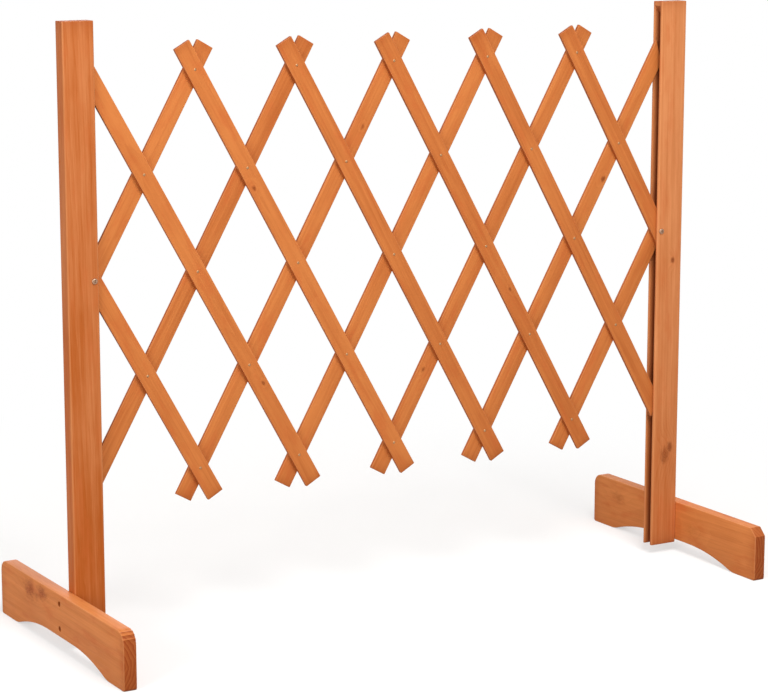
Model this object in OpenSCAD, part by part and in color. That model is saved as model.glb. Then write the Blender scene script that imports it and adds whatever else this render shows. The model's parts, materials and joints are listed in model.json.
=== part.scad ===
// Free-standing trellis fence: two grooved posts on arched feet, joined by a lattice of crossed slats.
// Every crossing of the lattice is a pivot, so the fence draws out wide and folds up narrow.
// Millimetres: X runs along the fence, Y from front to back, Z up, and the origin is under its middle.
// The lattice is drawn at the opening that the lean of its slats gives.

/* [Lattice] */
// Distance between neighbouring pivots along a slat
pivot_pitch = 167; // [150:1:180]
// Lean of the slats from upright, which sets how far the fence is drawn out
lean = 29.5; // [20:0.5:33]
// Height of the middle row of pivots
middle_z = 535; // [500:1:545]
// Width of a slat
slat_w = 27; // [22:1:28]
// Thickness of a slat
slat_t = 6; // [5:0.5:6.5]
// Length of a slat past its highest pivot, at the free upper tips
upper_overhang = 41; // [24:1:48]
// Length of a slat past its lowest pivot, at the free lower tips
lower_overhang = 50; // [24:1:60]
// Air between the front and the back layer of slats
layer_gap = 0.4; // [0.2:0.1:0.8]

/* [Posts] */
// Height of the top of the posts
post_top = 900; // [890:1:1000]
// Height of the lower end of the posts above the ground
post_bottom = 16; // [6:1:18]
// Width of a post, along the fence
post_w = 48; // [44:1:54]
// Depth of a post, front to back
post_d = 24; // [22:1:30]
// Radius of the long edges of a post
post_edge_r = 2.5; // [1:0.5:4]
// Width of the groove that the slat ends run in
groove_w = 14.6; // [14.2:0.2:16]
// Depth of that groove
groove_depth = 27; // [26:1:29]
// Solid wood left above the groove
groove_cap = 7; // [6:1:16]
// Radius of the saw that cut the groove, which leaves the upper end of the groove sloping out
saw_r = 110; // [60:5:120]
// Distance from the inner face of a post to its pivot screw
screw_inset = 7; // [6:0.5:8]

/* [Feet] */
// Length of a foot, front to back
foot_length = 440; // [380:5:500]
// Height of a foot
foot_h = 84; // [78:1:100]
// Thickness of a foot
foot_t = 20; // [18:1:26]
// Radius of the upper corners of a foot
foot_corner_r = 17; // [8:1:24]
// Length of the flat pad at each end of a foot
pad_length = 60; // [50:1:80]
// Rise of the arch under a foot
arch_rise = 20; // [10:1:24]
// Length of the flat middle of that arch
arch_flat = 90; // [60:1:120]
// Height of the lower foot screw
foot_screw_z = 32; // [30:1:38]
// Distance between the two screws of a foot
foot_screw_spacing = 37; // [24:1:40]

/* [Fasteners] */
// Diameter of a lattice nail
nail_d = 2.5; // [2:0.1:3]
// Diameter of a nail's head
nail_head_d = 4.2; // [4:0.2:6]
// Height of a nail's head
nail_head_h = 0.9; // [0.5:0.1:1.2]
// Diameter of the shank of a post screw
post_screw_d = 4.5; // [4:0.1:5]
// Diameter of the head of a post screw
post_screw_head_d = 9; // [8:0.2:10]
// Height of the head of a post screw
post_screw_head_h = 2.4; // [1.6:0.1:3]
// Diameter of the shank of a foot screw
foot_screw_d = 4; // [3.5:0.1:4.5]
// Diameter of the head of a foot screw
foot_screw_head_d = 7.6; // [7:0.1:8]
// Length of a foot screw under its head
foot_screw_length = 28; // [22:1:30]

/* [Hidden] */
slats_per_layer = 7;
slat_numbers = [1:slats_per_layer];

$fn = 64;
arch_fn = 360;
left = -1;
right = 1;

// Colours of the stained wood and of the zinc-plated steel
post_colour = "#CE7C46";
foot_colour = "#C57440";
front_slat_colour = "#D1803F";
back_slat_colour = "#BF6C33";
steel_colour = "#B9B4AC";

// Pivots stand in columns 0 to 12 along the fence and in rows 0 to 4 up it, where the two add up to even.
last_column = 12;
last_row = 4;
middle_column = last_column / 2;
middle_row = last_row / 2;
column_step = pivot_pitch * sin(lean);
row_step = pivot_pitch * cos(lean);
function column_x(column) = (column - middle_column) * column_step;
function row_z(row) = middle_z + (row - middle_row) * row_step;

// Front slats lean to the left and back slats to the right. They are numbered from the left.
function front_column(number, row) = 2 * number - row;
function back_column(number, row) = 2 * number - last_row + row;
function in_post(column) = column == 0 || column == last_column;
function front_rows(number) = [
    for (row = [0:last_row])
        if (front_column(number, row) >= 0 && front_column(number, row) <= last_column) row
];
function back_rows(number) = [
    for (row = [0:last_row])
        if (back_column(number, row) >= 0 && back_column(number, row) <= last_column) row
];
function last(list) = list[len(list) - 1];

// A slat ends in a free tip, on the screw of a post, or loose in the groove of a post.
function end_kind(column, row) =
    !in_post(column) ? "tip" : row == middle_row ? "pinned" : "loose";

// Posts and feet, measured out from the pivot column at each end of the lattice
post_inner_x = middle_column * column_step - screw_inset;
post_outer_x = post_inner_x + post_w;
foot_outer_x = post_outer_x + foot_t;
post_length = post_top - post_bottom;

// The floor of a groove is straight up to this height, and slopes out above it.
groove_straight_z = post_top - groove_cap - sqrt(groove_depth * (2 * saw_r - groove_depth));

// Faces of the two layers of slats
front_layer_y = -layer_gap / 2 - slat_t;
back_layer_y = layer_gap / 2;
back_face_y = back_layer_y + slat_t;

// A loose end is mitred, and its long edge reaches this far past the place of a pivot.
loose_reach = 8;
// A pinned end has this much wood past the screw, trimmed upright to clear the floor of the groove.
pinned_reach = 20;
pinned_trim = 13;

// Holes are this much wider than what runs through them.
pivot_clearance = 0.2;
screw_clearance = 0.2;

// The hammered tail of a nail holds the back slat on, with a little air.
tail_d = 4;
tail_h = 0.7;
tail_air = 0.1;

// Each foot screw sits at the bottom of a round recess.
foot_recess_d = 8.4;
foot_recess_depth = 5;
foot_screw_head_h = 3;

// Wood left behind the point of a post screw
screw_end_wood = 1.5;

// Cross slot in a screw's head
slot_w = 1.1;
slot_depth = 1;

// Cutting shapes run past the wood by this much.
cut = 1;

// Rectangle with rounded corners, centred
module rounded_rectangle(w, d, r) {
    square([w - 2 * r, d], center = true);
    square([w, d - 2 * r], center = true);
    for (x = [-1, 1], y = [-1, 1])
        translate([x * (w / 2 - r), y * (d / 2 - r)])
            circle(r);
}

// Stands a flat front view up, with its front at y
module stand_up(y, thickness) {
    translate([0, y + thickness, 0])
        rotate([90, 0, 0])
            linear_extrude(thickness)
                children();
}

// Round bar along Y
module bar_y(d, y_from, y_to) {
    translate([0, y_to, 0])
        rotate([90, 0, 0])
            cylinder(d = d, h = y_to - y_from);
}

// Low domed head that stands on z = 0
module domed_head(d, h) {
    dome_r = (d * d / 4 + h * h) / (2 * h);
    rotate_extrude()
        intersection() {
            translate([0, h - dome_r])
                circle(dome_r, $fn = arch_fn);
            square([d / 2, h]);
        }
}

// Screw that points down, with the flat under its domed, cross-slotted head at z = 0
module screw(shank_d, length, head_d, head_h) {
    difference() {
        domed_head(head_d, head_h);
        for (turn = [0, 90])
            rotate(turn)
                translate([-head_d / 4, -slot_w / 2, head_h - slot_depth])
                    cube([head_d / 2, slot_w, slot_depth + cut]);
    }
    translate([0, 0, -length])
        cylinder(d = shank_d, h = length);
}

// Places for the two screws of a foot, with Z pointing out of the foot
module foot_screw_places(side) {
    for (z = [foot_screw_z, foot_screw_z + foot_screw_spacing])
        translate([side * (foot_outer_x - foot_recess_depth), 0, z])
            rotate([0, side * 90, 0])
                children();
}

// Place for the pivot screw of a post, with Z pointing out of the front
module post_screw_place(side) {
    translate([side * (post_inner_x + screw_inset), -post_d / 2, middle_z])
        rotate([90, 0, 0])
            children();
}

// Groove in the inner side of a post, open at the bottom
module groove(side) {
    translate([side * (post_inner_x + groove_depth / 2 - cut / 2), 0, post_bottom - cut])
        linear_extrude(groove_straight_z - post_bottom + cut)
            square([groove_depth + cut, groove_w], center = true);
    translate([side * (post_inner_x + groove_depth - saw_r), groove_w / 2, groove_straight_z])
        rotate([90, 0, 0])
            cylinder(r = saw_r, h = groove_w, $fn = arch_fn);
}

// Post with its groove, its pivot screw hole and the holes for its foot
module post(side) {
    color(post_colour)
        difference() {
            translate([side * (post_inner_x + post_w / 2), 0, post_bottom])
                linear_extrude(post_length)
                    rounded_rectangle(post_w, post_d, post_edge_r);
            groove(side);
            post_screw_place(side)
                translate([0, 0, screw_end_wood - post_d])
                    cylinder(d = post_screw_d + screw_clearance, h = post_d);
            foot_screw_places(side)
                translate([0, 0, -foot_screw_length])
                    cylinder(d = foot_screw_d + screw_clearance, h = foot_screw_length);
        }
}

// Side view of the space under a foot: a flat middle between two curved flanks
module arch_outline() {
    flank_length = foot_length / 2 - pad_length - arch_flat / 2;
    flank_r = (flank_length * flank_length + arch_rise * arch_rise) / (2 * arch_rise);
    translate([-arch_flat / 2, arch_rise - flank_r])
        square([arch_flat, flank_r]);
    for (end = [-1, 1])
        translate([end * arch_flat / 2, arch_rise - flank_r])
            circle(flank_r, $fn = arch_fn);
}

// Side view of a foot: rounded upper corners, and an arch between two pads
module foot_outline() {
    corner_y = foot_length / 2 - foot_corner_r;
    difference() {
        union() {
            translate([-foot_length / 2, 0])
                square([foot_length, foot_h - foot_corner_r]);
            translate([-corner_y, 0])
                square([2 * corner_y, foot_h]);
            for (end = [-1, 1])
                translate([end * corner_y, foot_h - foot_corner_r])
                    circle(foot_corner_r);
        }
        arch_outline();
    }
}

// Foot board on the outer side of a post
module foot(side) {
    inner_edge_x = side == left ? -foot_outer_x : post_outer_x;
    color(foot_colour)
        difference() {
            translate([inner_edge_x, 0, 0])
                rotate([90, 0, 90])
                    linear_extrude(foot_t)
                        foot_outline();
            foot_screw_places(side) {
                cylinder(d = foot_recess_d, h = foot_recess_depth + cut);
                translate([0, 0, -foot_t])
                    cylinder(d = foot_screw_d + screw_clearance, h = foot_t + cut);
            }
        }
}

module foot_screws(side) {
    color(steel_colour)
        foot_screw_places(side)
            screw(foot_screw_d, foot_screw_length, foot_screw_head_d, foot_screw_head_h);
}

module post_screw(side) {
    color(steel_colour)
        post_screw_place(side)
            screw(post_screw_d, post_d - screw_end_wood, post_screw_head_d, post_screw_head_h);
}

// Outline of the end of an upright slat, past a pivot at the origin, from its right edge to its left.
// The end is up, and the post that it runs into is on its left. A free tip has its own overhang.
function end_points(kind, overhang) =
    kind == "tip" ? [[slat_w / 2, overhang], [-slat_w / 2, overhang]] :
    kind == "loose" ? [[slat_w / 2, loose_reach], [-slat_w / 2, loose_reach - slat_w]] :
    [
        [slat_w / 2, pinned_reach],
        [(pinned_reach * sin(lean) - pinned_trim) / cos(lean), pinned_reach],
        [-slat_w / 2, (pinned_trim - slat_w / 2 * cos(lean)) / sin(lean)]
    ];
function mirrored(points) = [
    for (i = [len(points) - 1:-1:0]) [-points[i].x, points[i].y]
];

// Upright slat with its lowest pivot at the origin
module slat_outline(length, low_kind, high_kind, low_on_right, high_on_right) {
    high = end_points(high_kind, upper_overhang);
    low = end_points(low_kind, lower_overhang);
    polygon(concat(
        [for (point = high_on_right ? mirrored(high) : high) point + [0, length]],
        [for (point = low_on_right ? low : mirrored(low)) -point]
    ));
}

// Slat of one layer: its pivot rows, the column of each of those rows, its lean to the left and its front
module slat(rows, columns, lean_left, y) {
    low_column = columns[0];
    high_column = last(columns);
    difference() {
        stand_up(y, slat_t)
            translate([column_x(low_column), row_z(rows[0])])
                rotate(lean_left)
                    slat_outline(
                        (last(rows) - rows[0]) * pivot_pitch,
                        end_kind(low_column, rows[0]),
                        end_kind(high_column, last(rows)),
                        low_column == last_column,
                        high_column == last_column
                    );
        for (i = [0:len(rows) - 1])
            if (end_kind(columns[i], rows[i]) != "loose")
                translate([column_x(columns[i]), 0, row_z(rows[i])])
                    bar_y(
                        pivot_clearance + (in_post(columns[i]) ? post_screw_d : nail_d),
                        y - cut, y + slat_t + cut
                    );
    }
}

module front_slat(number) {
    rows = front_rows(number);
    color(front_slat_colour)
        slat(rows, [for (row = rows) front_column(number, row)], lean, front_layer_y);
}

module back_slat(number) {
    rows = back_rows(number);
    color(back_slat_colour)
        slat(rows, [for (row = rows) back_column(number, row)], -lean, back_layer_y);
}

// Nail through both layers, with its head on the front slat and its tail hammered over at the back
module nail() {
    tail_y = back_face_y + tail_air;
    bar_y(nail_d, front_layer_y, tail_y);
    translate([0, front_layer_y, 0])
        rotate([90, 0, 0])
            domed_head(nail_head_d, nail_head_h);
    translate([0, tail_y, 0])
        rotate([-90, 0, 0])
            domed_head(tail_d, tail_h);
}

// Nails that a front slat carries, one at each crossing outside the posts
module front_slat_nails(number) {
    color(steel_colour)
        for (row = front_rows(number))
            if (!in_post(front_column(number, row)))
                translate([column_x(front_column(number, row)), 0, row_z(row)])
                    nail();
}

post(left);  // left_post
post(right);  // right_post
foot(left);  // left_foot
foot(right);  // right_foot
foot_screws(left);  // left_foot_screws
foot_screws(right);  // right_foot_screws
post_screw(left);  // left_post_screw
post_screw(right);  // right_post_screw
for (number = slat_numbers) {
    front_slat(number);
    back_slat(number);
    front_slat_nails(number);
}
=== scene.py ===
"""Folding trellis fence: two grooved posts on arched feet, and a lattice of crossed slats between them.

The frame gives the places and the outer sizes. The script builds every piece anew in stained fir and steel,
with X along the fence, Y from front to back and Z up, in metres.
"""

import json
import math
from functools import partial
from random import Random

import bmesh
import bpy
from mathutils import Matrix, Vector


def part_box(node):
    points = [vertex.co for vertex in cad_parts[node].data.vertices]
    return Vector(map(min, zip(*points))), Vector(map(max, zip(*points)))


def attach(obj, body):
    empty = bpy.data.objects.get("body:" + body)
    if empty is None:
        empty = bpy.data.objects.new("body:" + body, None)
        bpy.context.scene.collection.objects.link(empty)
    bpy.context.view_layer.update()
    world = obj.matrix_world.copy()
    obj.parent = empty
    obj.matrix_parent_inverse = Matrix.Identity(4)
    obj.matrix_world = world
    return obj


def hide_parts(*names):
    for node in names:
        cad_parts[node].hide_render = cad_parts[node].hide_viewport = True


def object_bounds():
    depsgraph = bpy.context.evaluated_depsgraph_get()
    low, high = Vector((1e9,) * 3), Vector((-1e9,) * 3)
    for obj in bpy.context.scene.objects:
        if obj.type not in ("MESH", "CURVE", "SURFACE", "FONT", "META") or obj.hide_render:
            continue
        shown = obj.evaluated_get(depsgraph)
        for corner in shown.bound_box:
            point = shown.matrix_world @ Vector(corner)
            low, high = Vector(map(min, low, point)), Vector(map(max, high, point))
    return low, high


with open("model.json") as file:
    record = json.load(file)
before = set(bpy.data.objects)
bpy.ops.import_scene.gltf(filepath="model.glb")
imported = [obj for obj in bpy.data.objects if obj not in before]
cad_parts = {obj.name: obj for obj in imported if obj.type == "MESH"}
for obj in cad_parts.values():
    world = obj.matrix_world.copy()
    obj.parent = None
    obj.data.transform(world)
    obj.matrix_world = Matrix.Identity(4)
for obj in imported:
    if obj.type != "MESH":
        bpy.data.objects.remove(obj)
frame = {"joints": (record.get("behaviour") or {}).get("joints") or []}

# What Blender's own start-up scene holds goes, so that only the frame is measured.
for start_up_name in ("Cube", "Camera", "Light"):
    start_up_object = bpy.data.objects.get(start_up_name)
    if start_up_object is not None:
        bpy.data.objects.remove(start_up_object)
CAD_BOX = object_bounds()

bl_info = {
    "name": "Folding trellis fence",
    "version": (1, 0, 0),
    "blender": (4, 5, 0),
    "location": "View3D > Sidebar > Trellis",
    "description": "Builds a folding trellis fence in stained fir, with its screws, its nails and a studio",
    "category": "Add Mesh",
}

MM = 0.001
UP = Vector((0, 0, 1))

# Sides of the fence, with the sign of X there, and layers of the lattice
SIDES = {"left": -1, "right": 1}
LAYERS = ("front", "back")

# The lattice has pivots in columns 0 to 12 along the fence and in rows 0 to 4 up it.
SLATS_PER_LAYER = 7
SLAT_NUMBERS = range(1, SLATS_PER_LAYER + 1)
LAST_COLUMN = 12
LAST_ROW = 4
MIDDLE_ROW = LAST_ROW // 2
PIVOTS = {joint["name"]: Vector(joint["pos_m"]) for joint in frame["joints"]}
FIRST_PIVOT = PIVOTS["lattice_fold"]
PIVOT_BELOW = PIVOTS["back_slat_2_pivot"]
COLUMN_STEP = PIVOT_BELOW.x - FIRST_PIVOT.x
ROW_STEP = FIRST_PIVOT.z - PIVOT_BELOW.z
PITCH = math.hypot(COLUMN_STEP, ROW_STEP)
LEAN = math.atan2(COLUMN_STEP, ROW_STEP)

# Each board comes from its own stretch of log. These are where the stretches start, how far on a board may
# start in its stretch, and how far from the pith it lay.
POST_LOGS = {"left": 2.0, "right": 4.0}
FOOT_LOGS = {"left": 6.0, "right": 8.0}
SLAT_LOGS = {"front": 10.0, "back": 30.0}
SLAT_LOG_STEP = 2
LOG_STRETCH = 0.5
POST_PITH = (12 * MM, 30 * MM)
FOOT_PITH = (-34 * MM, 46 * MM)

# How far in millimetres a board may lie off that, beside the pith and away from it, between which distances
# the slats lie, and how far in degrees the grain runs out sideways and in depth
PITH_SPREAD = (8, 6)
SLAT_PITHS = ((-30, 30), (14, 60))
GRAIN_SLOPE = 0.9
GRAIN_RISE = (0.3, 1.1)

# Share of late wood colour in the stain of the boards. Each post has its own, and more towards its lower end:
# painted shade, darker towards the bottom. Feet and slats have a middle and a spread.
POST_TONES = {"left": 0.56, "right": 0.11}
POST_LOW_SHADE = 0.36
FOOT_TONES = (0.2, 0.04)
SLAT_TONES = (0.2, 0.14)

# The sides of the slats are sawn, and take this share of the stain of end grain.
SLAT_SAWN = 0.6

# How squarely a face has to look along a board to be end grain, or across it to be a side: from and in full
END_FACING = (0.35, 0.85)
SIDE_FACING = (0.7, 0.9)

# Stain soaks this deep into the ends, and fades between lines across a board, which are this many
# millimetres from them.
SOAK_DEPTH = 9 * MM
POST_LINES = (5, 12, 25)
FOOT_LINES = (6, 14, 26)
SLAT_LINES = (5, 14)

# Saw marks round a corner of the left foot, the degrees that each takes to reach its depth, and the least and
# largest share of the depth that it has
SAW_STEPS = 4
SAW_SLOPE = 7
SAW_UNEVEN = (0.6, 1.4)

# A bowed slat is moved back by this share of its bow, so that it stays on its nails. Its edges are not quite
# straight either: height of the ripple, its turns in radians, and how much later it comes on the right edge.
BOW_BACK = 0.6
RIPPLE = 0.15 * MM
RIPPLE_TURNS = 9
RIPPLE_LAG = 1.7

# Steps in the curves of the pieces
BROKEN_EDGE_STEPS = 3
POST_EDGE_STEPS = 5
GROOVE_STEPS = 14
RUN_OUT_STEPS = 12
ARCH_STEPS = 16
PAD_FILLET_STEPS = 5
HEEL_STEPS = 4
CORNER_STEPS = 6
NAIL_STEPS = 24
SCREW_STEPS = 40
FLOOR_STEPS = 128

# A slat has a line across it about this often, where it may bend.
SLAT_SPAN = 40 * MM

# Faces that meet at less than this look like one round surface. Saw marks are crisp from the second angle on.
SHARPEST_SMOOTH = math.radians(35)
SHARPEST_SAWN = math.radians(10)

# Points closer together than this are one point.
SAME_POINT = 1e-7

# Floor: gap under the feet, share of plain white that it shows near the fence, and the distances in metres
# from the middle of the fence between which that share grows to all
FLOOR_GAP = 0.1 * MM
FLOOR_LIFT = 0.5
LIFT_START = 0.5
LIFT_STOP = 1.5
WHITE = (1, 1, 1, 1)

# Lamps, and the share of the fence's height that they aim at
LAMPS = ("key", "fill", "back")
AIM_HEIGHT = 0.55

# Camera: width of its film in millimetres, and how far it sees in metres
FILM_WIDTH = 36
SIGHT = 100


def linear(hex_colour):
    """Linear red, green and blue of an sRGB hex colour."""
    parts = [int(hex_colour[i:i + 2], 16) / 255 for i in (1, 3, 5)]
    return tuple(c / 12.92 if c <= 0.04045 else ((c + 0.055) / 1.055) ** 2.4 for c in parts)


def ramp(value, low, high):
    """Share of the way from low to high that a value has gone, from 0 to 1."""
    return min(1.0, max(0.0, (value - low) / (high - low)))


# Values that can be set


def length_property(name, description, millimetres):
    """Property that holds a length."""
    return bpy.props.FloatProperty(
        name=name, description=description, default=millimetres * MM, min=0.0, precision=5,
        subtype="DISTANCE", unit="LENGTH",
    )


def colour_property(name, description, hex_colour):
    """Property that holds a colour."""
    return bpy.props.FloatVectorProperty(
        name=name, description=description, default=linear(hex_colour), size=3, min=0.0, max=1.0,
        subtype="COLOR",
    )


def power_property(name, description, watts):
    """Property that holds the power of a lamp."""
    return bpy.props.FloatProperty(
        name=name, description=description, default=watts, min=0.0, subtype="POWER", unit="POWER",
    )


def place_property(name, description, place):
    """Property that holds a place in metres."""
    return bpy.props.FloatVectorProperty(
        name=name, description=description, default=place, subtype="TRANSLATION", unit="LENGTH",
    )


def angle_property(name, description, degrees):
    """Property that holds an angle."""
    return bpy.props.FloatProperty(
        name=name, description=description, default=math.radians(degrees), subtype="ANGLE", unit="ROTATION",
    )


class TrellisLattice(bpy.types.PropertyGroup):
    """Sizes of the slats and their nails."""

    slat_width: length_property("Slat width", "Width of a slat", 27)
    upper_overhang: length_property("Upper overhang", "Length of a free tip past its nail, at the top", 41)
    lower_overhang: length_property("Lower overhang", "Length of a free tip past its nail, at the bottom", 50)
    loose_reach: length_property("Loose reach", "Reach of the long edge of a mitred end in a groove", 8)
    pinned_reach: length_property("Pinned reach", "Length of a slat past the screw of a post", 20)
    pinned_trim: length_property("Pinned trim", "Distance from that screw to the upright trim of the end", 13)
    slat_edge: length_property("Slat edge", "Radius of the broken edges of a slat", 0.8)
    slat_bow: length_property("Slat bow", "Largest sideways bow of a slat", 0.7)
    nail_head: length_property("Nail head", "Diameter of a nail's head", 4.2)
    nail_head_height: length_property("Nail head height", "Height of a nail's head", 0.9)
    nail_shank: length_property("Nail shank", "Diameter of a nail", 2.5)
    nail_tail: length_property("Nail tail", "Diameter of the hammered tail of a nail", 4)
    nail_tail_height: length_property("Nail tail height", "Height of the hammered tail of a nail", 0.7)


class TrellisStand(bpy.types.PropertyGroup):
    """Sizes of the posts, the feet and their screws."""

    post_edge: length_property("Post edge", "Radius of the long edges of a post", 2.5)
    post_end_edge: length_property("Post end edge", "Radius of the edges at the ends of a post", 0.9)
    groove_width: length_property("Groove width", "Width of the groove in a post", 14.6)
    groove_depth: length_property("Groove depth", "Depth of the groove in a post", 27)
    groove_cap: length_property("Groove cap", "Solid wood above the groove", 7)
    # The painted shade in a groove grows over this depth.
    groove_shade: length_property("Groove shade", "Depth in the groove where pooled stain is darkest", 9)
    groove_edge: length_property("Groove edge", "Radius of the edges of the groove's mouth", 0.6)
    saw_radius: length_property("Saw radius", "Radius of the saw whose lift ends the groove", 110)
    foot_corner: length_property("Foot corner", "Radius of the upper corners of a foot", 17)
    foot_chamfer: length_property("Foot chamfer", "Flat cut off the front corner of the right foot", 12.5)
    saw_bite: length_property("Saw bite", "Depth of the saw marks on a corner of the left foot", 0.7)
    foot_heel: length_property("Foot heel", "Radius of the lower corners of a foot", 4)
    foot_edge: length_property("Foot edge", "Radius of the broken edges of a foot", 1.5)
    pad_length: length_property("Pad length", "Length of the flat pad at each end of a foot", 60)
    pad_fillet: length_property("Pad fillet", "Radius between a pad and the arch", 55)
    arch_rise: length_property("Arch rise", "Rise of the arch under a foot", 20)
    arch_flat: length_property("Arch flat", "Length of the flat middle of the arch", 90)
    recess: length_property("Screw recess", "Diameter of the recess round a foot screw", 8.4)
    recess_depth: length_property("Screw recess depth", "Depth of the recess round a foot screw", 5)
    post_screw_head: length_property("Post screw head", "Diameter of the head of a post screw", 9)
    post_screw_head_height: length_property("Post screw head height", "Height of that head", 2.4)
    post_screw_shank: length_property("Post screw shank", "Diameter of a post screw", 4.5)
    foot_screw_head: length_property("Foot screw head", "Diameter of the head of a foot screw", 7.6)
    foot_screw_head_height: length_property("Foot screw head height", "Height of that head", 3)
    foot_screw_shank: length_property("Foot screw shank", "Diameter of a foot screw", 4)


class TrellisFinish(bpy.types.PropertyGroup):
    """Colours of the stained wood, of the painted highlight and shade on it, and of the steel."""

    slat_early: colour_property("Slat early wood", "Stained early wood of the slats", "#D67F40")
    slat_late: colour_property("Slat late wood", "Stained late wood of the slats", "#AE551F")
    post_early: colour_property("Post early wood", "Stained early wood of the posts", "#DE8E58")
    post_late: colour_property("Post late wood", "Stained late wood of the posts", "#B4591A")
    foot_early: colour_property("Foot early wood", "Stained early wood of the feet", "#DE8848")
    foot_late: colour_property("Foot late wood", "Stained late wood of the feet", "#BA642D")
    end_grain: colour_property("End grain", "End grain, which drinks more stain", "#8E3706")
    knot: colour_property("Knot", "Heart of a knot", "#7C3408")
    foot_knot: colour_property("Foot knot", "Heart of a knot in a foot", "#903C04")
    blush: colour_property("Blush", "Patches where the stain turned redder", "#C9652F")
    # Painted shade in the grooves of the posts, darkest where they are deepest.
    pooled: colour_property("Pooled stain", "Stain that pooled in the grooves", "#7C2E04")
    # Paler colour of the edges: stain worn thin, and a painted highlight.
    worn_edge: colour_property("Worn edge", "Stain rubbed thin on the edges", "#E3A06B")
    screw_zinc: colour_property("Screw zinc", "Yellowish zinc plating of the screws", "#B8947A")
    nail_steel: colour_property("Nail steel", "Stained steel of the nails", "#C0946B")


class TrellisStage(bpy.types.PropertyGroup):
    """Floor, light and camera of the studio."""

    floor_colour: colour_property("Floor", "Pale floor of the studio", "#F6F5F3")
    floor_bounce: colour_property("Floor bounce", "Colour that the floor throws back on the fence", "#B4B2AF")
    floor_radius: length_property("Floor radius", "Radius of the round floor", 45000)
    ambient: bpy.props.FloatProperty(
        name="Ambient", description="Strength of the white surroundings as light", default=0.53, min=0.0,
    )
    key_power: power_property("Key light", "Power of the soft light above the front", 62.0)
    key_place: place_property("Key place", "Where the light above the front hangs", (-0.3, -1.9, 2.7))
    key_size: length_property("Key size", "Side of the light above the front", 1300)
    fill_power: power_property("Fill light", "Power of the soft light on the left", 104.0)
    fill_place: place_property("Fill place", "Where the light on the left stands", (-5.0, -2.2, 1.7))
    fill_size: length_property("Fill size", "Side of the light on the left", 2400)
    back_power: power_property("Back light", "Power of the soft light behind the fence", 54.0)
    back_place: place_property("Back place", "Where the light behind the fence stands", (1.2, 3.4, 1.4))
    back_size: length_property("Back size", "Side of the light behind the fence", 2400)
    lens: bpy.props.FloatProperty(
        name="Lens", description="Focal length of the camera", default=119.47, min=1.0,
        subtype="DISTANCE_CAMERA", unit="CAMERA",
    )
    camera_place: place_property("Camera place", "Where the camera stands", (-1.9326, -3.2767, 1.1138))
    camera_turn: angle_property("Camera turn", "Turn of the camera to the right", 30.35)
    camera_dip: angle_property("Camera dip", "Tilt of the camera down", 10.77)


# Shapes


def prism(outline, thickness):
    """New form of a flat board, with its outline in X and Y and its thickness centred on Z."""
    form = bmesh.new()
    low, high = (
        [form.verts.new((x, y, z)) for x, y in outline]
        for z in (-thickness / 2, thickness / 2)
    )
    form.faces.new(low)
    form.faces.new(high)
    for i in range(len(outline)):
        form.faces.new((low[i - 1], low[i], high[i], high[i - 1]))
    bmesh.ops.recalc_face_normals(form, faces=form.faces)
    return form


def loft(rings):
    """New closed form through rings of the same number of points."""
    form = bmesh.new()
    rows = [[form.verts.new(point) for point in ring] for ring in rings]
    for below, above in zip(rows, rows[1:]):
        for i in range(len(below)):
            form.faces.new((below[i - 1], below[i], above[i], above[i - 1]))
    form.faces.new(rows[0])
    form.faces.new(rows[-1])
    bmesh.ops.remove_doubles(form, verts=form.verts, dist=SAME_POINT)
    bmesh.ops.recalc_face_normals(form, faces=form.faces)
    return form


def lathe(profile, steps, place, wobble=0.0, chance=None):
    """Points of a turned form round Z, as rings from a profile of radius and height, moved to a place.

    The wobble makes the turned form uneven by that share of its radius.
    """
    uneven = [1 + wobble * chance.uniform(-1, 1) for _ in range(steps)] if chance else [1] * steps
    even = [(uneven[i - 1] + uneven[i] + uneven[(i + 1) % steps]) / 3 for i in range(steps)]
    turns = [2 * math.pi * i / steps for i in range(steps)]
    rings = []
    for radius, height in profile:
        reaches = [radius * share for share in even]
        rings.append([
            place @ Vector((reach * math.cos(turn), reach * math.sin(turn), height))
            for reach, turn in zip(reaches, turns)
        ])
    return rings


def mesh_from(name, form):
    """New mesh out of a form, which is used up."""
    mesh = bpy.data.meshes.new(name)
    form.to_mesh(mesh)
    form.free()
    return mesh


def put_in_scene(name, data):
    """New object in the scene, with the given mesh, lamp or camera."""
    thing = bpy.data.objects.new(name, data)
    bpy.context.scene.collection.objects.link(thing)
    return thing


def join(forms):
    """One form out of several, which are used up."""
    whole = bmesh.new()
    for form in forms:
        mesh = mesh_from("part", form)
        whole.from_mesh(mesh)
        bpy.data.meshes.remove(mesh)
    return whole


def carve(form, cutter):
    """Form with a cutter taken out of it. Both are used up."""
    uncut = put_in_scene("uncut", mesh_from("uncut", form))
    tool = put_in_scene("cutter", mesh_from("cutter", cutter))
    cut = uncut.modifiers.new("cut", "BOOLEAN")
    cut.operation = "DIFFERENCE"
    cut.solver = "EXACT"
    cut.object = tool
    graph = bpy.context.evaluated_depsgraph_get()
    carved_mesh = bpy.data.meshes.new_from_object(uncut.evaluated_get(graph), depsgraph=graph)
    carved = bmesh.new()
    carved.from_mesh(carved_mesh)
    bpy.data.meshes.remove(carved_mesh)
    for stand_in in (uncut, tool):
        mesh = stand_in.data
        bpy.data.objects.remove(stand_in)
        bpy.data.meshes.remove(mesh)
    return carved


def break_edges(form, edges, radius):
    """Round the given edges of a form."""
    bmesh.ops.bevel(
        form, geom=list(edges), offset=radius, offset_type="OFFSET", segments=BROKEN_EDGE_STEPS, profile=0.5,
        affect="EDGES", clamp_overlap=True,
    )


def cut_across(form, places):
    """Add lines across a board at places along X, where it may bend or change colour."""
    for x in places:
        parts = form.verts[:] + form.edges[:] + form.faces[:]
        bmesh.ops.bisect_plane(form, geom=parts, dist=SAME_POINT, plane_co=(x, 0, 0), plane_no=(1, 0, 0))


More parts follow.
